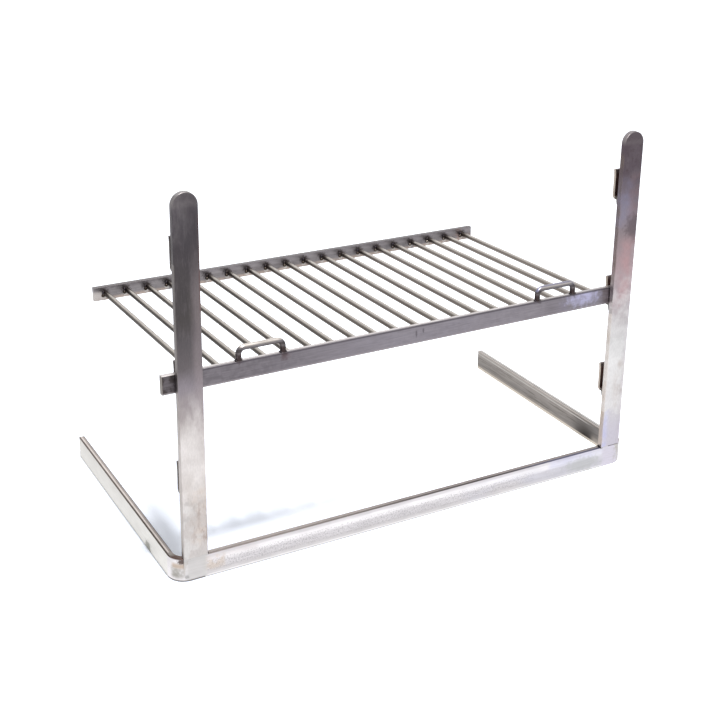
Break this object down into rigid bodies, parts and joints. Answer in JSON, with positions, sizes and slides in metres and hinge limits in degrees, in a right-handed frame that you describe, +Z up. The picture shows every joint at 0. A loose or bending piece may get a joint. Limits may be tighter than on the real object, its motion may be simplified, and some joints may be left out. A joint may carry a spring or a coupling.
{
  "type": "fireplace grill",
  "caption": "Steel fireplace grill: a three-sided flat-bar base, two uprights with hooks at three heights, and a lift-off rod grate with two loop handles.",
  "frame": {"origin": "on the floor at the centre of the base's outline", "axes": "+X to the right and +Y to the rear as seen from the front rail, +Z up"},
  "size_m": [0.5609, 0.3, 0.397],
  "materials": {
    "ground_base_steel": "ground bright, mill scale left in places",
    "heat_tinted_steel": "mill scale at the top fading to ground metal at the foot, with heat tints",
    "sooty_hook_steel": "dark, brown from welding",
    "hot_rolled_bar_steel": "hot-rolled, lightly ground",
    "bright_rod_steel": "drawn rod, satin",
    "dark_rod_steel": "hot-rolled rod, dark, worn bright on top"
  },
  "bodies": {
    "stand": {"base_frame": "ground_base_steel", "upright_left": "heat_tinted_steel", "upright_right": "heat_tinted_steel", "hook_left_low": "sooty_hook_steel", "hook_left_mid": "sooty_hook_steel", "hook_left_high": "sooty_hook_steel", "hook_right_low": "sooty_hook_steel", "hook_right_mid": "sooty_hook_steel", "hook_right_high": "sooty_hook_steel"},
    "grate": {"grate_front_bar": "hot_rolled_bar_steel", "grate_rear_bar": "hot_rolled_bar_steel", "grate_rod_01": "bright_rod_steel", "grate_rod_02": "bright_rod_steel", "grate_rod_03": "bright_rod_steel", "grate_rod_04": "bright_rod_steel", "grate_rod_05": "bright_rod_steel", "grate_rod_06": "bright_rod_steel", "grate_rod_07": "bright_rod_steel", "grate_rod_08": "bright_rod_steel", "grate_rod_09": "bright_rod_steel", "grate_rod_10": "bright_rod_steel", "grate_rod_11": "bright_rod_steel", "grate_rod_12": "bright_rod_steel", "grate_rod_13": "bright_rod_steel", "grate_rod_14": "bright_rod_steel", "grate_rod_15": "bright_rod_steel", "grate_rod_16": "bright_rod_steel", "grate_rod_17": "bright_rod_steel", "grate_rod_18": "bright_rod_steel", "grate_rod_19": "bright_rod_steel", "grate_rod_20": "bright_rod_steel", "handle_left": "dark_rod_steel", "handle_right": "dark_rod_steel"}
  },
  "joints": [
    {"name": "grate_lift", "type": "slide", "parent": "stand", "child": "grate", "axis": [0, 0, 1], "range_m": [0, 0.08]}
  ]
}
